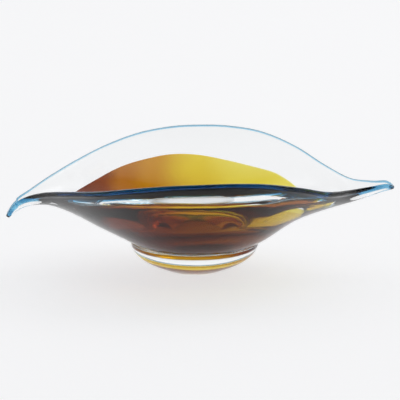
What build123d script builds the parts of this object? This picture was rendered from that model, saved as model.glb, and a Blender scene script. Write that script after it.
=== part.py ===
"""Free-form art glass bowl, hot-worked in five gathers of glass that are fused to each other.

The bowl is round at heart. Two opposite points of its rim are pulled out into tips, one drooping like a
tongue and one level, so that the rim is a saddle, high along both sides and low at the tips. +X runs
towards the level tip, +Y towards the back side, +Z up. The origin is under the middle of the length, on
the plane of the ground base. All sizes are in millimetres.
"""

import os
from math import cos, hypot, pi, sin

from build123d import *

# Overall shape: x, half-width of the rim, height of the rim, height of the keel under it.
STATIONS = [
    (-206, 9.5, 54, 47),
    (-190, 11, 72, 61.5),
    (-175, 17, 81, 67.5),
    (-155, 39, 90, 68.5),
    (-130, 72, 98.5, 60),
    (-100, 106, 107, 44.5),
    (-65, 129, 115.5, 29.5),
    (-30, 138.5, 120.5, 23.5),
    (0, 139.5, 122, 23.2),
    (30, 135, 122, 25),
    (65, 122, 118.5, 33.5),
    (100, 96, 108.5, 54),
    (130, 62, 96, 65),
    (155, 28, 90, 71),
    (175, 15, 90, 77),
    (190, 9.5, 91.5, 82),
    (206, 8, 94, 86.5),
]
TIP_ENDS = (-198.5, 198.5)  # where the tips are rounded off
TIP_ROUND = 9.5
KNEE_RADIUS = 76.0  # where the level bottom turns up into the side
KNEE_ROUND = 22.0  # length over which it turns

# Wall, measured square to it.
LIP_WALL = 6.5  # at the rim
TIP_WALL = 4.5  # in the tips
BOTTOM_WALL = 42.0  # over the foot
HEAVY_X = 10.0  # the wall is at its thickest as far as this from the middle, along the bowl,
HEAVY_SHARE = 0.55  # and across it within this share of the half-width
THIN_X = 185.0  # as thin as the lip from here on
WEDGE = 0.7  # how fast the wall starts to thicken below the lip, 1 for a steady wedge
LIP_BULGE = 1.0  # how far the fire-polished lip swells past half a wall
LIP_RISE = 0.8  # top of the lip above the end of the outer skin, as a share of the wall
MOST_INSET = 0.5  # the most a lip takes of the half-width, in the tips

# Where each gather lies within the wall, from the outer skin (0) to the inner skin (1).
CASING_SHARE = 0.66  # near the edge of the amber
MIDDLE_SHARE = 0.4  # over the foot, where the amber is thickest
AMBER_SHARE = 0.8
LENS_INNER = 0.35  # the amber thins from here to there, as shares of its half-width
LENS_OUTER = 0.85

# Amber gather, seen from above: an oval that narrows towards its ends, more so at the drooping tip.
AMBER_MIDDLE_X = -14.5
AMBER_HALF_LENGTH = 121.5
AMBER_HALF_WIDTH = 118.0
AMBER_NARROWING = (0.38, 0.12)  # towards the drooping and the level tip
AMBER_CORNERS = 32

# Blue wrap along the lip.
LIP_REACH = 6.0  # how far it reaches inwards from the rim, seen from above
LIP_WRAP_ENDS = (-187, 186)  # inside these the tips are clear in the middle

# Foot, a bulging cone of clear glass with a ground base: its flank as a curve, radius and height.
FOOT_X = -5.5  # its axis
FLANK = [(29.0, 0.0), (50.0, 8.5), (65.5, 15.0), (66.8, 29.5)]
FOOT_TOP = 34.5
TOP_RADIUS = 65.6
SHOULDER_ROUND = 6.0

SECTION_SHARES = [-1, -0.92, -0.8, -0.65, -0.5, -0.33, -0.16, 0, 0.16, 0.33, 0.5, 0.65, 0.8, 0.92, 1]
OVERRUN = 25.0  # how far a cutting surface runs past the wall
CUT_TOP = 200.0


def climb(x, y):
    """How far the wall has climbed at a point of the plan: level inside the knee, then a straight cone."""
    past_knee = hypot(x, y) - KNEE_RADIUS
    return (past_knee + hypot(past_knee, KNEE_ROUND)) / 2


def wall_thickness(station, share):
    """Thickness of the wall: heavy over the foot, and thinning all the way to the lip and the tips."""
    x, half_width, rim, keel = station
    along = min(max((THIN_X - abs(x)) / (THIN_X - HEAVY_X), 0.0), 1.0)
    along = along * along * (3 - 2 * along)
    across = min(max((1 - abs(share)) / (1 - HEAVY_SHARE), 0.0), 1.0)
    across = across * (WEDGE + across * (3 - 2 * WEDGE - across * (2 - WEDGE)))
    body = LIP_WALL + (BOTTOM_WALL - LIP_WALL) * along * across
    to_tip = max(0.0, 1.0 - half_width / 40.0)
    return body + (TIP_WALL - body) * to_tip


def skin_height(station, share):
    """Height of the outer skin at a share of the half-width."""
    x, half_width, rim, keel = station
    skin_end = rim - LIP_RISE * wall_thickness(station, 1)
    lowest = climb(x, 0)
    highest = climb(x, half_width)
    return keel + (skin_end - keel) * (climb(x, share * half_width) - lowest) / (highest - lowest)


def skin_slope(station, share):
    """Slope of the outer skin across the section."""
    step = 0.01
    higher = skin_height(station, share + step) - skin_height(station, share - step)
    return higher / (2 * step * station[1])


def outer_face(x, y):
    """Depth of the outer skin within the wall."""
    return 0.0


def inner_face(x, y):
    """Depth of the inner skin within the wall."""
    return 1.0


def casing_face(x, y):
    """Depth of the face between casing and amber: the amber is a lens, thickest over the foot."""
    out = hypot(x - AMBER_MIDDLE_X, y) / AMBER_HALF_WIDTH
    thinned = min(max((out - LENS_INNER) / (LENS_OUTER - LENS_INNER), 0.0), 1.0)
    return MIDDLE_SHARE + (CASING_SHARE - MIDDLE_SHARE) * thinned * thinned * (3 - 2 * thinned)


def lining_face(x, y):
    """Depth of the face between amber and lining."""
    return AMBER_SHARE


def skin(station, face):
    """Points across one section, on a face that gives its depth within the wall at each point."""
    x, half_width, rim, keel = station
    lip_slope = skin_slope(station, 1)
    lip_inset = wall_thickness(station, 1) * lip_slope / hypot(lip_slope, 1.0)
    squeeze = min(1.0, MOST_INSET * half_width / lip_inset)
    points = []
    for share in SECTION_SHARES:
        y = share * half_width
        slope = skin_slope(station, share)
        inset = face(x, y) * wall_thickness(station, share) / hypot(slope, 1.0)
        points.append((y - squeeze * inset * slope, skin_height(station, share) + inset))
    return points


def beyond(end, before, reach):
    """A point past the end of a curve, straight on from its last two points."""
    run = (end[0] - before[0], end[1] - before[1])
    scale = reach / hypot(*run)
    return (end[0] + run[0] * scale, end[1] + run[1] * scale)


def lip_crest(outer, inner):
    """The top of the rounded lip between the ends of the outer and the inner skin."""
    across = (inner[0] - outer[0], inner[1] - outer[1])
    width = hypot(*across)
    out = (across[1] / width, -across[0] / width)
    if out[1] < 0:
        out = (-out[0], -out[1])
    swell = width / 2 + LIP_BULGE * min(1.0, width / LIP_WALL)
    middle = ((outer[0] + inner[0]) / 2, (outer[1] + inner[1]) / 2)
    return (middle[0] + out[0] * swell, middle[1] + out[1] * swell)


def above_points(station, face):
    """Points across one section on a face, run on past the lip at both ends."""
    points = skin(station, face)
    first = beyond(points[0], points[1], OVERRUN)
    last = beyond(points[-1], points[-2], OVERRUN)
    return [first, *points, last]


def amber_corner(turn):
    """A point of the amber gather's outline, seen from above, at a turn from 0 to 1."""
    along = cos(2 * pi * turn)
    across = sin(2 * pi * turn)
    narrowing = AMBER_NARROWING[1 if along > 0 else 0]
    x = AMBER_MIDDLE_X + AMBER_HALF_LENGTH * along
    y = AMBER_HALF_WIDTH * across * (1 - narrowing * along * along)
    return (x, y)


# The whole wall as one envelope, lip included. The gathers are cut from it.
with BuildPart() as envelope:
    for station in STATIONS:
        outer = skin(station, outer_face)
        inner = skin(station, inner_face)
        with BuildSketch(Plane.YZ.offset(station[0])):
            with BuildLine():
                Spline(*outer)
                ThreePointArc(outer[-1], lip_crest(outer[-1], inner[-1]), inner[-1])
                Spline(*reversed(inner))
                ThreePointArc(inner[0], lip_crest(outer[0], inner[0]), outer[0])
            make_face()
    loft()

# Everything above the face between the casing and the amber.
with BuildPart() as above_casing:
    for station in STATIONS:
        points = above_points(station, casing_face)
        with BuildSketch(Plane.YZ.offset(station[0])):
            with BuildLine():
                Spline(*points)
                Polyline(points[-1], (points[-1][0], CUT_TOP), (points[0][0], CUT_TOP), points[0])
            make_face()
    loft()

# Everything above the face between the amber and the lining.
with BuildPart() as above_amber:
    for station in STATIONS:
        points = above_points(station, lining_face)
        with BuildSketch(Plane.YZ.offset(station[0])):
            with BuildLine():
                Spline(*points)
                Polyline(points[-1], (points[-1][0], CUT_TOP), (points[0][0], CUT_TOP), points[0])
            make_face()
    loft()

# Everything inside the blue wrap, seen from above.
with BuildPart() as inside_lip:
    middle_stations = [station for station in STATIONS if abs(station[0]) < 180]
    front = [(x, LIP_REACH - half_width) for x, half_width, rim, keel in middle_stations]
    back = [(x, half_width - LIP_REACH) for x, half_width, rim, keel in reversed(middle_stations)]
    with BuildSketch():
        with BuildLine():
            Spline((LIP_WRAP_ENDS[0], 0), *front, (LIP_WRAP_ENDS[1], 0), *back, periodic=True)
        make_face()
    extrude(amount=CUT_TOP)

# The amber gather's outline, straight up.
with BuildPart() as inside_amber:
    with BuildSketch():
        with BuildLine():
            Spline(*[amber_corner(corner / AMBER_CORNERS) for corner in range(AMBER_CORNERS)], periodic=True)
        make_face()
    extrude(amount=CUT_TOP)

# Dark blue wrap, laid on the lip and drawn out with the tips.
with BuildPart() as blue_lip_wrap:
    add(envelope.part)
    add(inside_lip.part, mode=Mode.SUBTRACT)
    # Both tips are rounded off, seen from above.
    for end in TIP_ENDS:
        inwards = 1 if end < 0 else -1
        with BuildSketch():
            with Locations((end - inwards * 10, 0)):
                Rectangle(2 * (10 + TIP_ROUND), 60)
            with Locations((end + inwards * TIP_ROUND, 0)):
                Circle(TIP_ROUND, mode=Mode.SUBTRACT)
            with Locations((end + inwards * 2 * TIP_ROUND, 0)):
                Rectangle(2 * TIP_ROUND, 60, mode=Mode.SUBTRACT)
        extrude(amount=CUT_TOP, mode=Mode.SUBTRACT)
blue_lip_wrap.part.label = "blue_lip_wrap"

# Clear lining, the first gather: the inner skin of the bowl.
with BuildPart() as clear_inner_lining:
    add(envelope.part)
    add(inside_lip.part, mode=Mode.INTERSECT)
    add(above_amber.part, mode=Mode.INTERSECT)
clear_inner_lining.part.label = "clear_inner_lining"

# Amber gather, buried between lining and casing.
with BuildPart() as amber_core:
    add(envelope.part)
    add(inside_lip.part, mode=Mode.INTERSECT)
    add(above_casing.part, mode=Mode.INTERSECT)
    add(inside_amber.part, mode=Mode.INTERSECT)
    add(above_amber.part, mode=Mode.SUBTRACT)
amber_core.part.label = "amber_core"

# Clear casing, the last gather: the outer skin, wrapped round the amber's edge up to the lining.
with BuildPart() as clear_outer_casing:
    add(envelope.part)
    add(inside_lip.part, mode=Mode.INTERSECT)
    add(above_amber.part, mode=Mode.SUBTRACT)
    add(amber_core.part, mode=Mode.SUBTRACT)
clear_outer_casing.part.label = "clear_outer_casing"

# Clear foot, solid, put on hot under the bowl. Its base is ground flat.
with BuildPart() as clear_foot:
    with BuildSketch(Plane(origin=(FOOT_X, 0, 0), x_dir=(1, 0, 0), z_dir=(0, -1, 0))):
        with BuildLine():
            Bezier(*FLANK)
            Polyline(FLANK[-1], (TOP_RADIUS, FOOT_TOP), (0, FOOT_TOP), (0, 0), FLANK[0])
        make_face()
        shoulder = vertices().sort_by(Axis.X)[-1]
        fillet(shoulder, radius=SHOULDER_ROUND)
    revolve(axis=Axis((FOOT_X, 0, 0), (0, 0, 1)))
    add(envelope.part, mode=Mode.SUBTRACT)
clear_foot.part.label = "clear_foot"

os.makedirs("parts", exist_ok=True)
export_step(blue_lip_wrap.part, "parts/blue_lip_wrap.step")
export_step(clear_inner_lining.part, "parts/clear_inner_lining.step")
export_step(amber_core.part, "parts/amber_core.step")
export_step(clear_outer_casing.part, "parts/clear_outer_casing.step")
export_step(clear_foot.part, "parts/clear_foot.step")
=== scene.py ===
"""Free-form art glass bowl: clear cased glass over an amber core, a blue lip and a solid clear foot.

Light bends only at the outside of the real bowl, because its gathers are fused. So one closed clear skin
stands for casing, lining and foot together, and the amber core and the blue lip lie just under it as
bodies of colour that absorb light and bend none.
"""

import logging
import math
from bisect import bisect_right
from dataclasses import dataclass, field
from enum import Enum
from functools import cached_property
from typing import Sequence, Union

import bmesh
import bpy
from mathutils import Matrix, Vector

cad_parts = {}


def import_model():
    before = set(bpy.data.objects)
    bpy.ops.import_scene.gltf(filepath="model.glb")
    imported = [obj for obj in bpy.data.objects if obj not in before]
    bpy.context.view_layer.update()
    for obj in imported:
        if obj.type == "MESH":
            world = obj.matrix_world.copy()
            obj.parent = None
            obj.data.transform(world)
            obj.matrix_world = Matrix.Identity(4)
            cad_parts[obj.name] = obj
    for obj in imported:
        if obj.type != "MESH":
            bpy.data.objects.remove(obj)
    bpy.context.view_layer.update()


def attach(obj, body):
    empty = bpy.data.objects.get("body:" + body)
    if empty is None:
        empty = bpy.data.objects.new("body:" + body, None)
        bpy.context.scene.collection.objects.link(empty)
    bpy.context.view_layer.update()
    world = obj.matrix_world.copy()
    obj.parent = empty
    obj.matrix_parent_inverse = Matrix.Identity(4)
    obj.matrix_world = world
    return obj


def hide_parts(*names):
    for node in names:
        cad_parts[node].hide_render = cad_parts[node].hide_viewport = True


LOG = logging.getLogger("art_glass_bowl")
MM = 0.001  # Millimetres in metres.
WELD = 2e-6  # Points closer than this, in metres, become one.
TINY = 1e-6  # Keeps divisions away from zero.
Colour = tuple[float, float, float]
Spot = tuple[float, float]


class Slot(Enum):
    """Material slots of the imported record."""

    CLEAR = "clear_glass"
    AMBER = "amber_glass"
    BLUE = "blue_glass"


class Grade(Enum):
    """How finely a piece is meshed: steps round the bowl and steps along one run of its profile."""

    SKIN = (540, 56)
    AMBER = (300, 40)
    LIP = (540, 8)


def share_of(value: float, start: float, end: float) -> float:
    """How far a value has come on the way from start to end, kept between 0 and 1."""
    return min(max((value - start) / (end - start), 0.0), 1.0)


def eased(share: float) -> float:
    """A share from 0 to 1 that sets off and arrives softly."""
    return share * share * (3 - 2 * share)


# ---------------------------------------------------------------- shape of the bowl


@dataclass(frozen=True)
class Station:
    """One cross-section of the bowl, in millimetres."""

    x: float
    half_width: float
    rim: float
    keel: float


@dataclass(frozen=True)
class BowlForm:
    """The wall of the bowl as formulas: a round cone at heart, pulled out into two tips.

    All sizes and places are in millimetres, and the same as in the solid model. The wall is heavy over the
    foot, from heavy_x and heavy_share inwards, and thin at the lip and past thin_x. A section narrower
    than narrow_width belongs to a tip. most_inset keeps the inner skin of a narrow tip on its own side.
    """

    stations: tuple[Station, ...] = (
        Station(-206, 9.5, 54, 47),
        Station(-190, 11, 72, 61.5),
        Station(-175, 17, 81, 67.5),
        Station(-155, 39, 90, 68.5),
        Station(-130, 72, 98.5, 60),
        Station(-100, 106, 107, 44.5),
        Station(-65, 129, 115.5, 29.5),
        Station(-30, 138.5, 120.5, 23.5),
        Station(0, 139.5, 122, 23.2),
        Station(30, 135, 122, 25),
        Station(65, 122, 118.5, 33.5),
        Station(100, 96, 108.5, 54),
        Station(130, 62, 96, 65),
        Station(155, 28, 90, 71),
        Station(175, 15, 90, 77),
        Station(190, 9.5, 91.5, 82),
        Station(206, 8, 94, 86.5),
    )
    tip_end: float = 198.5
    tip_round: float = 9.5
    lip_wall: float = 6.5
    tip_wall: float = 4.5
    narrow_width: float = 40.0
    bottom_wall: float = 42.0
    heavy_share: float = 0.55
    heavy_x: float = 10.0
    thin_x: float = 185.0
    wedge: float = 0.7
    lip_bulge: float = 1.0
    lip_rise: float = 0.8
    most_inset: float = 0.5
    knee_radius: float = 76.0
    knee_round: float = 22.0
    outline_steps: int = 1600

    def _slope_at(self, index: int, name: str) -> float:
        """Slope of one field at a station, from the stations on either side.

        Args:
            index: Number of the station.
            name: Name of the station's field.

        Returns:
            The slope along x.
        """
        low = self.stations[max(index - 1, 0)]
        high = self.stations[min(index + 1, len(self.stations) - 1)]
        return (getattr(high, name) - getattr(low, name)) / (high.x - low.x)

    def at(self, x: float) -> Station:
        """The cross-section at any x, on a smooth curve through the stations.

        Args:
            x: Place along the bowl.

        Returns:
            The station there.
        """
        right = bisect_right([station.x for station in self.stations], x)
        right = min(max(right, 1), len(self.stations) - 1)
        start = self.stations[right - 1]
        end = self.stations[right]
        span = end.x - start.x
        t = (x - start.x) / span
        values = []
        for name in ("half_width", "rim", "keel"):
            rise = getattr(end, name) - getattr(start, name)
            slope_in = self._slope_at(right - 1, name) * span
            slope_out = self._slope_at(right, name) * span
            curve = (slope_in + slope_out - 2 * rise) * t + 3 * rise - 2 * slope_in - slope_out
            values.append(getattr(start, name) + (curve * t + slope_in) * t)
        return Station(x, *values)

    def _climb(self, x: float, y: float) -> tuple[float, float]:
        """How the wall climbs away from the foot: flat inside the knee, then up at an even slope.

        Args:
            x: Place along the bowl.
            y: Place across the bowl.

        Returns:
            The climb, and how fast it grows along y.
        """
        radius = max(math.hypot(x, y), TINY)
        past_knee = radius - self.knee_radius
        bend = math.hypot(past_knee, self.knee_round)
        return (past_knee + bend) / 2, (1 + past_knee / bend) / 2 * y / radius

    def thickness(self, station: Station, y: float) -> float:
        """Thickness of the wall: heavy over the foot, and thinning all the way to the lip and the tips.

        Args:
            station: The cross-section.
            y: Place across it.

        Returns:
            The thickness, square to the wall.
        """
        along = eased(share_of(abs(station.x), self.thin_x, self.heavy_x))
        across = share_of(abs(y) / station.half_width, 1.0, self.heavy_share)
        across *= self.wedge + across * (3 - 2 * self.wedge - across * (2 - self.wedge))
        body = self.lip_wall + (self.bottom_wall - self.lip_wall) * along * across
        to_tip = share_of(station.half_width, self.narrow_width, 0.0)
        return body + (self.tip_wall - body) * to_tip

    def _skin(self, station: Station, y: float) -> tuple[float, float]:
        """The outer skin at one place across a station.

        Args:
            station: The cross-section.
            y: Place across it.

        Returns:
            The skin's height, and its slope along y.
        """
        skin_end = station.rim - self.lip_rise * self.thickness(station, station.half_width)
        lowest = self._climb(station.x, 0.0)[0]
        highest = self._climb(station.x, station.half_width)[0]
        share = (skin_end - station.keel) / (highest - lowest)
        climb, slope = self._climb(station.x, y)
        return station.keel + share * (climb - lowest), share * slope

    def point(self, x: float, y: float, depth: float) -> Vector:
        """A point within the wall.

        Args:
            x: Place along the bowl of the point of the outer skin under it.
            y: Place across the bowl of the point of the outer skin under it.
            depth: 0 on the outer skin, 1 on the inner skin.

        Returns:
            The point, in metres.
        """
        station = self.at(x)
        lip_slope = self._skin(station, station.half_width)[1]
        lip_wall = self.thickness(station, station.half_width)
        lip_inset = lip_wall * lip_slope / math.hypot(lip_slope, 1.0)
        squeeze = min(1.0, self.most_inset * station.half_width / lip_inset)
        height, slope = self._skin(station, y)
        inset = depth * self.thickness(station, y) / math.hypot(slope, 1.0)
        return Vector((x, y - squeeze * inset * slope, height + inset)) * MM

    def rim_outline(self, count: int) -> list[Spot]:
        """The rim seen from above, as evenly spaced points.

        Args:
            count: Number of points round the rim.

        Returns:
            The points, starting at the level tip and turning towards the back.
        """
        half = []
        for step in range(self.outline_steps + 1):
            x = self.tip_end * math.cos(math.pi * step / self.outline_steps)
            y = self.at(x).half_width
            into_tip = abs(x) - (self.tip_end - self.tip_round)
            if into_tip > 0:
                y = min(y, math.sqrt(max(self.tip_round**2 - into_tip**2, 0.0)))
            half.append((x, y))
        loop = half + [(x, -y) for x, y in reversed(half[1:-1])]
        loop.append(loop[0])
        lengths = [0.0]
        for a, b in zip(loop, loop[1:]):
            lengths.append(lengths[-1] + math.dist(a, b))
        outline = []
        for index in range(count):
            wanted = lengths[-1] * index / count
            right = min(bisect_right(lengths, wanted), len(loop) - 1)
            t = (wanted - lengths[right - 1]) / max(lengths[right] - lengths[right - 1], TINY)
            a, b = loop[right - 1], loop[right]
            outline.append((a[0] + (b[0] - a[0]) * t, a[1] + (b[1] - a[1]) * t))
        return outline


@dataclass(frozen=True)
class Lip:
    """The rounded end of the wall at one point of the rim, in metres.

    outer and inner are where the two skins end, out points out of the wall, and bulge is how far the round
    swells past a half circle.
    """

    outer: Vector
    inner: Vector
    out: Vector
    bulge: float

    @property
    def swell(self) -> float:
        """How far the lip swells past the ends of the two skins, in metres."""
        return (self.outer - self.inner).length / 2 + self.bulge

    def at(self, turn: float, under: float = 0.0) -> Vector:
        """A point of the lip's round.

        Args:
            turn: 0 at the outer skin, 1 at the inner skin.
            under: Depth below the surface, in metres.

        Returns:
            The point, in metres.
        """
        middle = (self.outer + self.inner) / 2
        across = (self.outer - self.inner) / 2
        shrink = 1 - under / across.length
        angle = math.pi * turn
        rise = math.sin(angle) * (self.swell - under)
        return middle + across * (math.cos(angle) * shrink) + self.out * rise


@dataclass
class Rim:
    """The rim of a form: its outline from above and its rounded lip, all the way round.

    inwards is where the skin is probed to tell its outside, and spread is how many points on either side
    give the rim's direction.
    """

    form: BowlForm
    count: int
    inwards: float = 0.95
    spread: int = 2
    plan: list[Spot] = field(default_factory=list)
    lips: list[Lip] = field(default_factory=list)

    def __post_init__(self) -> None:
        """Works out the outline and the lip at each of its points."""
        self.plan = self.form.rim_outline(self.count)
        outer = [self.form.point(x, y, 0.0) for x, y in self.plan]
        inner = [self.form.point(x, y, 1.0) for x, y in self.plan]
        for index, (x, y) in enumerate(self.plan):
            tangent = outer[(index + 1) % self.count] - outer[index - 1]
            out = tangent.cross(inner[index] - outer[index]).normalized()
            if out.dot(outer[index] - self.form.point(x * self.inwards, y * self.inwards, 0.0)) < 0:
                out.negate()
            width = (inner[index] - outer[index]).length
            bulge = self.form.lip_bulge * MM * min(1.0, width / (self.form.lip_wall * MM))
            self.lips.append(Lip(outer[index], inner[index], out, bulge))

    def inset(self, index: int, reach: float) -> Spot:
        """A point of the plan straight inwards from the rim.

        Args:
            index: Which point of the rim.
            reach: How far inwards, in millimetres.

        Returns:
            The point of the plan, in millimetres.
        """
        ahead = self.plan[(index + self.spread) % self.count]
        behind = self.plan[index - self.spread]
        along = (ahead[0] - behind[0], ahead[1] - behind[1])
        length = math.hypot(*along)
        x, y = self.plan[index]
        return (x - along[1] / length * reach, y + along[0] / length * reach)


# ---------------------------------------------------------------- meshes


def add_object(name: str, data: bpy.types.ID) -> bpy.types.Object:
    """Puts a mesh, a light or a camera into the scene as a new object."""
    made = bpy.data.objects.new(name, data)
    bpy.context.scene.collection.objects.link(made)
    return made


def rolled_sheet(name: str, rows: list[list[Vector]]) -> bpy.types.Object:
    """A closed body rolled up from one grid, whose edges meet and are welded.

    Args:
        name: Name of the piece.
        rows: For each step round the bowl, the line of points along the section there, in metres.

    Returns:
        The new object, linked to the scene and shaded smooth.
    """
    around = len(rows)
    along = len(rows[0]) - 1
    bm = bmesh.new()
    bmesh.ops.create_grid(bm, x_segments=around, y_segments=along, size=0.5)
    for vert in bm.verts:
        row = rows[round((vert.co.x + 0.5) * around) % around]
        vert.co = row[round((vert.co.y + 0.5) * along)]
    bmesh.ops.remove_doubles(bm, verts=bm.verts, dist=WELD)
    bmesh.ops.recalc_face_normals(bm, faces=bm.faces)
    for face in bm.faces:
        face.smooth = True
    mesh = bpy.data.meshes.new(name)
    bm.to_mesh(mesh)
    bm.free()
    LOG.info("%s: %d faces", name, len(mesh.polygons))
    return add_object(name, mesh)


# ---------------------------------------------------------------- shader maths


class Value:
    """A number or vector socket in a node tree, with the usual operators."""

    def __init__(self, nodes: "Nodes", socket: bpy.types.NodeSocket) -> None:
        """Wraps an output socket of one of these nodes."""
        self.nodes = nodes
        self.socket = socket

    def _math(self, operation: str, other: "Operand" = 0.0, swap: bool = False) -> "Value":
        """Adds one Math node.

        Args:
            operation: What the node does.
            other: The other number.
            swap: Whether the other number comes first.

        Returns:
            The result.
        """
        inputs = {0: other, 1: self} if swap else {0: self, 1: other}
        return self.nodes.node("ShaderNodeMath", {"operation": operation}, inputs)

    def __add__(self, other: "Operand") -> "Value":
        """The sum of this value and another."""
        return self._math("ADD", other)

    def __sub__(self, other: "Operand") -> "Value":
        """This value less another."""
        return self._math("SUBTRACT", other)

    def __rsub__(self, other: "Operand") -> "Value":
        """Another value less this one."""
        return self._math("SUBTRACT", other, swap=True)

    def __mul__(self, other: "Operand") -> "Value":
        """The product of this value and another."""
        return self._math("MULTIPLY", other)

    __radd__ = __add__
    __rmul__ = __mul__

    def at_least(self, other: "Operand") -> "Value":
        """The greater of this value and another."""
        return self._math("MAXIMUM", other)

    def span(self, low: float, high: float, start: float = 0.0, end: float = 1.0) -> "Value":
        """This value run smoothly from one number to another.

        Args:
            low: Where the run begins.
            high: Where the run ends.
            start: The result up to low.
            end: The result from high on.

        Returns:
            The result.
        """
        settings = {"interpolation_type": "SMOOTHSTEP"}
        inputs = {"Value": self, "From Min": low, "From Max": high, "To Min": start, "To Max": end}
        return self.nodes.node("ShaderNodeMapRange", settings, inputs)


Operand = Union[Value, float, Sequence[float]]


@dataclass(frozen=True)
class Pattern:
    """One soft noise: its scale, its detail, and how much closer it lies along x, y and z."""

    scale: float
    detail: float = 2.0
    stretch: tuple[float, float, float] | None = None


class Nodes:
    """The nodes of one material or of the world, and one method that adds any of them."""

    def __init__(self, tree: bpy.types.NodeTree) -> None:
        """Takes up the node tree."""
        self.tree = tree

    def feed(self, socket: bpy.types.NodeSocket, value: Operand) -> None:
        """Sets a socket to a constant, or links a value to it.

        Args:
            socket: The input socket.
            value: The constant or the value.
        """
        if isinstance(value, Value):
            self.tree.links.new(value.socket, socket)
        else:
            socket.default_value = value

    def node(
        self,
        kind: str,
        settings: dict[str, object] | None = None,
        inputs: dict[Union[int, str], Operand] | None = None,
        output: Union[int, str] = 0,
    ) -> Value:
        """Adds one node.

        Args:
            kind: The node's type.
            settings: Its properties.
            inputs: Its inputs, by number or name.
            output: Which output to give back.

        Returns:
            That output.
        """
        made = self.tree.nodes.new(kind)
        for name, setting in (settings or {}).items():
            setattr(made, name, setting)
        for key, value in (inputs or {}).items():
            self.feed(made.inputs[key], value)
        return Value(self, made.outputs[output])

    def axes(self, place: Value) -> tuple[Value, Value, Value]:
        """The three coordinates of a place."""
        split = self.node("ShaderNodeSeparateXYZ", inputs={0: place}).socket.node
        return tuple(Value(self, output) for output in split.outputs)


class Shader(Nodes):
    """A new material with its Principled shader, and short ways to what the finishes need."""

    def __init__(self, name: str) -> None:
        """Starts a new material of this name."""
        self.material = bpy.data.materials.new(name)
        self.material.use_nodes = True
        super().__init__(self.material.node_tree)
        self.surface = self.tree.nodes["Principled BSDF"]
        self.output = self.tree.nodes["Material Output"]

    def place(self) -> Value:
        """The point on the object, in metres."""
        return self.node("ShaderNodeTexCoord", output="Object")

    def noise(self, place: Value, pattern: Pattern) -> Value:
        """Soft noise.

        Args:
            place: The point on the object.
            pattern: How the noise looks.

        Returns:
            The noise there, from 0 to 1.
        """
        if pattern.stretch:
            place = self.node("ShaderNodeMapping", inputs={"Vector": place, "Scale": pattern.stretch})
        inputs = {"Vector": place, "Scale": pattern.scale, "Detail": pattern.detail}
        return self.node("ShaderNodeTexNoise", inputs=inputs)

    def blend(self, share: Operand, first: Operand, second: Operand) -> Value:
        """A mix of two colours.

        Args:
            share: How much of the second colour, from 0 to 1.
            first: The first colour.
            second: The second colour.

        Returns:
            The mix.
        """
        return self.node("ShaderNodeMix", {"data_type": "RGBA"}, {0: share, 6: first, 7: second}, output=2)

    def colours(self, share: Value, stops: Sequence[tuple[float, Colour]]) -> Value:
        """A run of colours along a value from 0 to 1.

        Args:
            share: The value.
            stops: The colours and where they stand.

        Returns:
            The colour.
        """
        colour = self.node("ShaderNodeValToRGB", inputs={0: share})
        ramp = colour.socket.node.color_ramp
        ramp.interpolation = "EASE"
        while len(ramp.elements) < len(stops):
            ramp.elements.new(1.0)
        for element, (where, paint) in zip(ramp.elements, stops):
            element.position = where
            element.color = (*paint, 1.0)
        return colour

    def bump(self, height: Value, distance: float) -> Value:
        """A normal that leans with a height from 0 to 1, which stands for this distance in metres."""
        return self.node("ShaderNodeBump", inputs={"Height": height, "Strength": 1.0, "Distance": distance})

    def principled(self, **inputs: Operand) -> None:
        """Feeds the Principled shader, with underscores for the blanks in its inputs' names."""
        for name, value in inputs.items():
            self.feed(self.surface.inputs[name.replace("_", " ")], value)

    def body_of_colour(self, tint: Value, colour: Colour, density: float) -> None:
        """Makes glass that colours light and doesn't bend it.

        Args:
            tint: Colour that light takes on at the surface.
            colour: Colour that light takes on inside.
            density: How much of it, per metre.
        """
        self.principled(
            Base_Color=tint,
            Roughness=0.0,
            IOR=1.0,
            Transmission_Weight=1.0,
            Specular_IOR_Level=0.0,
        )
        inputs = {"Color": (*colour, 1.0), "Density": density}
        volume = self.node("ShaderNodeVolumeAbsorption", inputs=inputs)
        self.feed(self.output.inputs["Volume"], volume)


# ---------------------------------------------------------------- finishes


@dataclass(frozen=True)
class ClearFinish:
    """Heavy clear glass, fire-polished, with the slow waves of hand work and a ground base."""

    ior: float = 1.52
    mirror: Colour = (0.45, 0.45, 0.45)
    tint: Colour = (0.985, 0.992, 0.99)
    waves: Pattern = Pattern(9.0, 1.5)
    drawn: Pattern = Pattern(3.0, 2.0, (6.0, 22.0, 22.0))
    drawn_share: float = 0.35
    wave_height: float = 0.00025
    smears: Pattern = Pattern(38.0, 3.0)
    smear_span: tuple[float, float] = (0.55, 0.8)
    smear_roughness: float = 0.012
    grit: Pattern = Pattern(1800.0, 3.0)
    ground_height: float = 0.0006
    ground_tint: Colour = (0.9, 0.91, 0.92)
    ground_roughness: float = 0.05
    grit_roughness: float = 0.25

    def dress(self, piece: bpy.types.Object) -> None:
        """Gives the finish to a piece.

        Args:
            piece: The glass skin.
        """
        shader = Shader("clear_cased_glass")
        place = shader.place()
        height = shader.axes(place)[2]
        waves = shader.noise(place, self.waves) + shader.noise(place, self.drawn) * self.drawn_share
        smears = shader.noise(place, self.smears).span(*self.smear_span)
        ground = 1.0 - height.span(self.ground_height * 0.5, self.ground_height)
        grit = shader.noise(place, self.grit)
        grinding = ground * (grit * self.grit_roughness + self.ground_roughness)
        shader.principled(
            Base_Color=shader.blend(ground * grit, (*self.tint, 1.0), (*self.ground_tint, 1.0)),
            Roughness=smears * self.smear_roughness + grinding,
            IOR=self.ior,
            Specular_Tint=(*self.mirror, 1.0),
            Transmission_Weight=1.0,
            Normal=shader.bump(waves, self.wave_height),
        )
        piece.data.materials.append(shader.material)


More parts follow.
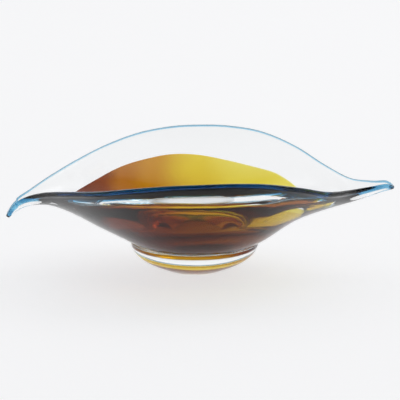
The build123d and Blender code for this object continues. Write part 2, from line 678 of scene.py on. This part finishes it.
@dataclass(frozen=True)
class AmberFinish:
    """Amber glass, from dark orange-brown near the drooping tip to honey yellow near the level one."""

    colour: Colour = (0.914, 0.85, 0.05)
    density: float = 620.0
    cloud: Pattern = Pattern(2.0, 2.0, (5.0, 9.0, 9.0))
    cloud_drift: float = 0.03
    run: tuple[float, float] = (-0.14, 0.07)
    stops: tuple[tuple[float, Colour], ...] = (
        (0.0, (0.18, 0.03, 0.01)),
        (0.08, (0.26, 0.055, 0.015)),
        (0.18, (0.54, 0.22, 0.09)),
        (0.38, (0.69, 0.37, 0.15)),
        (0.74, (0.92, 0.8, 0.32)),
        (1.0, (1.0, 1.0, 1.0)),
    )

    def dress(self, piece: bpy.types.Object) -> None:
        """Gives the finish to a piece.

        Args:
            piece: The amber core.
        """
        shader = Shader("amber_core_glass")
        place = shader.place()
        along = shader.axes(place)[0]
        drift = shader.noise(place, self.cloud) * self.cloud_drift
        share = (along + drift - self.cloud_drift / 2).span(*self.run)
        shader.body_of_colour(shader.colours(share, self.stops), self.colour, self.density)
        piece.data.materials.append(shader.material)


@dataclass(frozen=True)
class BlueFinish:
    """Blue glass drawn out along the lip, streaked, and paler at the back than at the front, where its tint
    is darkened as painted shade.
    """

    colour: Colour = (0.02, 0.55, 0.75)
    density: float = 240.0
    streaks: Pattern = Pattern(5.0, 3.0, (4.0, 6.0, 30.0))
    # Painted shade: the darker tints used at the front of the lip; pale holds the tints of the back.
    painted_shade_front: tuple[Colour, Colour] = ((0.12, 0.4, 0.62), (0.4, 0.75, 0.92))
    painted_shade_front_span: tuple[float, float] = (0.35, 0.65)
    pale: tuple[Colour, Colour] = ((0.78, 0.9, 0.97), (0.93, 0.97, 0.99))
    pale_span: tuple[float, float] = (0.3, 0.7)
    # Across y, the painted shade of the front gives way to the pale back between these two places.
    painted_shade_front_to_back: tuple[float, float] = (-0.02, 0.03)

    def dress(self, piece: bpy.types.Object) -> None:
        """Gives the finish to a piece.

        Args:
            piece: The blue lip.
        """
        shader = Shader("blue_lip_glass")
        place = shader.place()
        streaks = shader.noise(place, self.streaks)
        # Painted shade: the darker, streaked tint for the front of the lip.
        painted_shade_front = shader.blend(streaks.span(*self.painted_shade_front_span), *((*colour, 1.0) for colour in self.painted_shade_front))
        pale = shader.blend(streaks.span(*self.pale_span), *((*colour, 1.0) for colour in self.pale))
        # Painted shade: the tint runs from the darker front tint to the pale back tint across y.
        tint = shader.blend(shader.axes(place)[1].span(*self.painted_shade_front_to_back), painted_shade_front, pale)
        shader.body_of_colour(tint, self.colour, self.density)
        piece.data.materials.append(shader.material)


# ---------------------------------------------------------------- pieces


@dataclass
class GlassSkin:
    """The whole outside of the bowl as one skin: ground base, foot, outer skin, lip and inner skin.

    The sizes are in millimetres. flank holds the four points of the foot's curve, as radius and height,
    and shoulder_turn is how far, in degrees, the foot's shoulder rolls over into the groove.
    """

    form: BowlForm
    foot_x: float = -5.5
    flank: tuple[Spot, ...] = ((29.0, 0.0), (50.0, 8.5), (65.5, 15.0), (66.8, 29.5))
    shoulder_round: float = 1.2
    shoulder_turn: float = 110.0
    groove_radius: float = 65.8
    base_steps: int = 9
    flank_steps: int = 30
    shoulder_steps: int = 8
    lip_steps: int = 16

    @cached_property
    def foot_profile(self) -> list[Spot]:
        """The line along the foot, from the middle of the base to the groove under the bowl.

        Returns:
            Its points, as radius and height in millimetres.
        """
        base_radius = self.flank[0][0]
        profile = [(base_radius * step / self.base_steps, 0.0) for step in range(self.base_steps)]
        for step in range(self.flank_steps + 1):
            t = step / self.flank_steps
            weights = ((1 - t) ** 3, 3 * t * (1 - t) ** 2, 3 * t * t * (1 - t), t**3)
            radius = sum(weight * spot[0] for weight, spot in zip(weights, self.flank))
            height = sum(weight * spot[1] for weight, spot in zip(weights, self.flank))
            profile.append((radius, height))
        top_radius, top_height = self.flank[-1]
        for step in range(1, self.shoulder_steps + 1):
            angle = math.radians(self.shoulder_turn) * step / self.shoulder_steps
            radius = top_radius - self.shoulder_round * (1 - math.cos(angle))
            profile.append((radius, top_height + self.shoulder_round * math.sin(angle)))
        return profile

    def section(self, rim: Rim, index: int, run: int) -> list[Vector]:
        """The line from the middle of the base, over foot, outer skin and lip, to the middle of the inside.

        Args:
            rim: The rim.
            index: Which point of the rim the line passes.
            run: Steps along each skin.

        Returns:
            Its points, in metres.
        """
        x, y = rim.plan[index]
        reach = math.hypot(x, y)
        way_x, way_y = x / reach, y / reach
        line = []
        for radius, height in self.foot_profile:
            line.append(Vector((self.foot_x + way_x * radius, way_y * radius, height)) * MM)
        start_x = self.foot_x + way_x * self.groove_radius
        start_y = way_y * self.groove_radius
        for step in range(run + 1):
            t = step / run
            line.append(self.form.point(start_x + (x - start_x) * t, start_y + (y - start_y) * t, 0.0))
        lip = rim.lips[index]
        line += [lip.at(step / self.lip_steps) for step in range(1, self.lip_steps)]
        for step in range(run + 1):
            out = 1 - step / run
            line.append(self.form.point(x * out, y * out, 1.0))
        return line

    def build(self) -> bpy.types.Object:
        """Builds and dresses the skin.

        Returns:
            The finished piece.
        """
        around, run = Grade.SKIN.value
        rim = Rim(self.form, around)
        piece = rolled_sheet("glass_skin", [self.section(rim, index, run) for index in range(around)])
        ClearFinish().dress(piece)
        return piece


@dataclass
class AmberCore:
    """The amber gather, a lens with a crisp edge, buried in the wall.

    The sizes seen from above are in millimetres. narrowing is how much the outline draws in towards the
    drooping and the level end. low, low_middle and high are depths in the wall, from 0 on the outer skin
    to 1 on the inner one: of the outer face at the edge and in the middle, and of the inner face. lens is
    where, on the way out from the middle, the outer face begins and ends its climb between the two.
    """

    form: BowlForm
    middle_x: float = -14.5
    half_length: float = 121.5
    half_width: float = 118.0
    narrowing: tuple[float, float] = (0.38, 0.12)
    low: float = 0.66
    low_middle: float = 0.4
    high: float = 0.8
    lens: tuple[float, float] = (0.35, 0.85)
    edge_swell: float = 0.006
    edge_steps: int = 8

    def outline(self, turn: float) -> Spot:
        """A point of the gather's outline, seen from above.

        Args:
            turn: How far round, from 0 to 1, starting at the level end.

        Returns:
            The point, in millimetres.
        """
        angle = 2 * math.pi * turn
        across = math.sin(angle)
        along = math.cos(angle)
        narrowing = self.narrowing[1 if along > 0 else 0]
        x = self.middle_x + self.half_length * along
        return (x, self.half_width * across * (1 - narrowing * along * along))

    def outer_depth(self, x: float, y: float) -> float:
        """Depth in the wall of the core's outer face, which bulges into the casing over the foot.

        Args:
            x: Place along the bowl.
            y: Place across the bowl.

        Returns:
            The depth, from 0 on the outer skin to 1 on the inner one.
        """
        out = math.hypot(x - self.middle_x, y) / self.half_width
        return self.low_middle + (self.low - self.low_middle) * eased(share_of(out, *self.lens))

    def section(self, turn: float, run: int) -> list[Vector]:
        """The line from the middle of the outer face, round the edge, to the middle of the inner face.

        Args:
            turn: Where the line meets the outline, from 0 to 1.
            run: Steps along each face.

        Returns:
            Its points, in metres.
        """
        edge_x, edge_y = self.outline(turn)

        def part_way(out: float) -> Spot:
            """The point of the plan this far from the middle to the edge."""
            return (self.middle_x + (edge_x - self.middle_x) * out, edge_y * out)

        line = []
        for step in range(run + 1):
            x, y = part_way(step / run)
            line.append(self.form.point(x, y, self.outer_depth(x, y)))
        edge_depth = self.outer_depth(edge_x, edge_y)
        for step in range(1, self.edge_steps):
            angle = math.pi * step / self.edge_steps
            depth = edge_depth + (self.high - edge_depth) * (1 - math.cos(angle)) / 2
            line.append(self.form.point(*part_way(1 + self.edge_swell * math.sin(angle)), depth))
        for step in range(run + 1):
            line.append(self.form.point(*part_way((run - step) / run), self.high))
        return line

    def build(self) -> bpy.types.Object:
        """Builds and dresses the core.

        Returns:
            The finished piece.
        """
        around, run = Grade.AMBER.value
        rows = [self.section(index / around, run) for index in range(around)]
        piece = rolled_sheet("amber_core_glass", rows)
        AmberFinish().dress(piece)
        return piece


@dataclass
class BlueLip:
    """Blue glass in the last of the wall, all round the rim, thinnest at the back and deepest at the front.

    The sizes are in millimetres. cap is how much of the lip's round stays clear where the blue is
    thinnest, and most_bare is the most that it may be, as a share of the lip's swell. The blue of the tips
    begins at tip_start and is complete at tip_full along the bowl, and the blue of the front likewise
    across it. under is how far the blue lies below the surface.
    """

    form: BowlForm
    cap: float = 1.7
    most_bare: float = 0.9
    tip_start: float = 150.0
    tip_full: float = 190.0
    tip_reach: float = 0.8
    tip_share: float = 0.5
    front_start: float = 10.0
    front_full: float = -30.0
    front_reach: float = 5.0
    under: float = 0.12
    round_steps: int = 12
    closing_steps: int = 4

    def reach_at(self, x: float, y: float) -> float:
        """How far the blue reaches inwards from the foot of the lip's round.

        Args:
            x: Place along the bowl.
            y: Place across the bowl.

        Returns:
            The reach in millimetres, below 0 where the blue begins part of the way up the round.
        """
        into_tip = share_of(abs(x), self.tip_start, self.tip_full) ** 2
        to_front = share_of(y, self.front_start, self.front_full)
        deeper = max(self.tip_reach * into_tip, self.front_reach * to_front)
        return (deeper + self.cap) * max(self.tip_share * into_tip, to_front) - self.cap

    def section(self, rim: Rim, index: int, run: int) -> list[Vector]:
        """The closed line round the blue at one point of the rim, starting on the outer skin.

        Args:
            rim: The rim.
            index: Which point of the rim.
            run: Steps along each skin.

        Returns:
            Its points, in metres.
        """
        x, y = rim.plan[index]
        reach = self.reach_at(x, y)
        inner_x, inner_y = rim.inset(index, max(reach, 0.0))
        lip = rim.lips[index]
        under = self.under * MM / (lip.inner - lip.outer).length
        first = math.asin(min(max(-reach * MM / lip.swell, 0.0), self.most_bare)) / math.pi

        def wall(out: float, depth: float) -> Vector:
            """A point part of the way from the blue's inner end to the lip's round, at some depth."""
            if reach <= 0:
                return lip.at(first + (1 - 2 * first) * depth, self.under * MM)
            here_x = inner_x + (x - inner_x) * out
            here_y = inner_y + (y - inner_y) * out
            return self.form.point(here_x, here_y, depth)

        line = [wall(step / run, under) for step in range(run + 1)]
        for step in range(1, self.round_steps):
            line.append(lip.at(first + (1 - 2 * first) * step / self.round_steps, self.under * MM))
        line += [wall(1 - step / run, 1 - under) for step in range(run + 1)]
        inner_end, outer_end = line[-1], line[0]
        for step in range(1, self.closing_steps + 1):
            line.append(inner_end.lerp(outer_end, step / self.closing_steps))
        return line

    def build(self) -> bpy.types.Object:
        """Builds and dresses the lip.

        Returns:
            The finished piece.
        """
        around, run = Grade.LIP.value
        rim = Rim(self.form, around)
        piece = rolled_sheet("blue_lip_glass", [self.section(rim, index, run) for index in range(around)])
        BlueFinish().dress(piece)
        return piece


# ---------------------------------------------------------------- studio


@dataclass
class Studio:
    """A pale floor under even light, brighter from the back right and darker above the viewer.

    Lengths are in metres. The room is dark in front of dark_from and lit behind dark_to, but low down it
    is lit on all sides, up to between the two low_light heights. These four are parts of a direction of
    length 1.
    """

    distance: float = 3.0
    elevation: float = 14.0
    aim_height: float = 0.073
    frame_width: float = 0.4156
    clip: tuple[float, float] = (0.05, 60.0)
    floor_size: float = 12.0
    floor_drop: float = 0.0002
    floor_colour: Colour = (0.5, 0.5, 0.505)
    floor_lighter: float = 1.01
    floor_mottle: Pattern = Pattern(2.0, 2.0)
    floor_roughness: float = 0.9
    floor_shine: float = 0.1
    floor_glow: float = 1.34
    room_colour: Colour = (0.92, 0.93, 0.945)
    dark: float = 0.06
    dark_from: float = -0.1
    dark_to: float = 0.4
    low_light: tuple[float, float] = (0.12, 0.3)
    lamp_place: tuple[float, float, float] = (1.6, 1.2, 2.2)
    lamp_aim: tuple[float, float, float] = (0.0, 0.0, 0.05)
    lamp_size: float = 1.2
    lamp_watts: float = 6.0
    glass_bounces: int = 24
    glossy_bounces: int = 8
    diffuse_bounces: int = 4

    def floor(self) -> bpy.types.Object:
        """Lays the floor, a hair below the ground base.

        Returns:
            The floor.
        """
        bm = bmesh.new()
        bmesh.ops.create_grid(bm, x_segments=4, y_segments=4, size=self.floor_size)
        bmesh.ops.translate(bm, verts=bm.verts, vec=(0, 0, -self.floor_drop))
        mesh = bpy.data.meshes.new("floor")
        bm.to_mesh(mesh)
        bm.free()
        shader = Shader("pale_floor")
        mottle = shader.noise(shader.place(), self.floor_mottle)
        lighter = tuple(channel * self.floor_lighter for channel in self.floor_colour)
        colour = shader.blend(mottle, (*self.floor_colour, 1.0), (*lighter, 1.0))
        shader.principled(
            Base_Color=colour,
            Roughness=self.floor_roughness,
            Specular_IOR_Level=self.floor_shine,
            Emission_Color=colour,
            Emission_Strength=self.floor_glow,
        )
        mesh.materials.append(shader.material)
        return add_object("floor", mesh)

    def world(self) -> None:
        """Lights the room from all sides low down, higher up only from the back, and little overhead."""
        world = bpy.data.worlds.new("room")
        bpy.context.scene.world = world
        world.use_nodes = True
        room = Nodes(world.node_tree)
        _, back, up = room.axes(room.node("ShaderNodeTexCoord", output="Generated"))
        behind = back.span(self.dark_from, self.dark_to, self.dark, 1.0)
        low = up.span(*self.low_light, 1.0, 0.0)
        background = room.tree.nodes["Background"]
        room.feed(background.inputs["Color"], (*self.room_colour, 1.0))
        room.feed(background.inputs["Strength"], behind.at_least(low))

    def lamp(self) -> None:
        """Hangs the soft lamp that faces the bowl like a window."""
        light = bpy.data.lights.new("window", "AREA")
        light.shape = "RECTANGLE"
        light.size = self.lamp_size
        light.size_y = self.lamp_size
        light.energy = self.lamp_watts
        spot = Vector(self.lamp_place)
        lamp = add_object("window", light)
        lamp.location = spot
        lamp.rotation_euler = (Vector(self.lamp_aim) - spot).to_track_quat("-Z", "Y").to_euler()

    def camera(self) -> None:
        """Sets up the camera, well back and looking a little down on the bowl from the front."""
        tilt = math.radians(self.elevation)
        aim = Vector((0, 0, self.aim_height))
        spot = aim + Vector((0, -math.cos(tilt), math.sin(tilt))) * self.distance
        camera_data = bpy.data.cameras.new("camera")
        camera_data.lens = camera_data.sensor_width * self.distance / self.frame_width
        camera_data.clip_start, camera_data.clip_end = self.clip
        camera = add_object("camera", camera_data)
        camera.location = spot
        camera.rotation_euler = (aim - spot).to_track_quat("-Z", "Y").to_euler()
        bpy.context.scene.camera = camera

    def build(self) -> None:
        """Sets up room, lamp, camera and floor, with bounces enough for light to get through the glass."""
        scene = bpy.context.scene
        scene.view_settings.view_transform = "Standard"
        scene.cycles.max_bounces = self.glass_bounces
        scene.cycles.transmission_bounces = self.glass_bounces
        scene.cycles.glossy_bounces = self.glossy_bounces
        scene.cycles.diffuse_bounces = self.diffuse_bounces
        self.world()
        self.lamp()
        self.camera()
        self.floor()


def main() -> None:
    """Builds the bowl on its frame and the studio round it."""
    logging.basicConfig(level=logging.INFO, format="%(message)s")
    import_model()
    form = BowlForm()
    skin = GlassSkin(form).build()
    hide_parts("clear_outer_casing", "clear_inner_lining", "clear_foot")
    amber = AmberCore(form).build()
    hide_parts("amber_core")
    blue = BlueLip(form).build()
    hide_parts("blue_lip_wrap")
    for piece in (skin, amber, blue):
        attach(piece, "root")
    Studio().build()
    LOG.info("bowl and studio built")


if __name__ == "__main__":
    main()
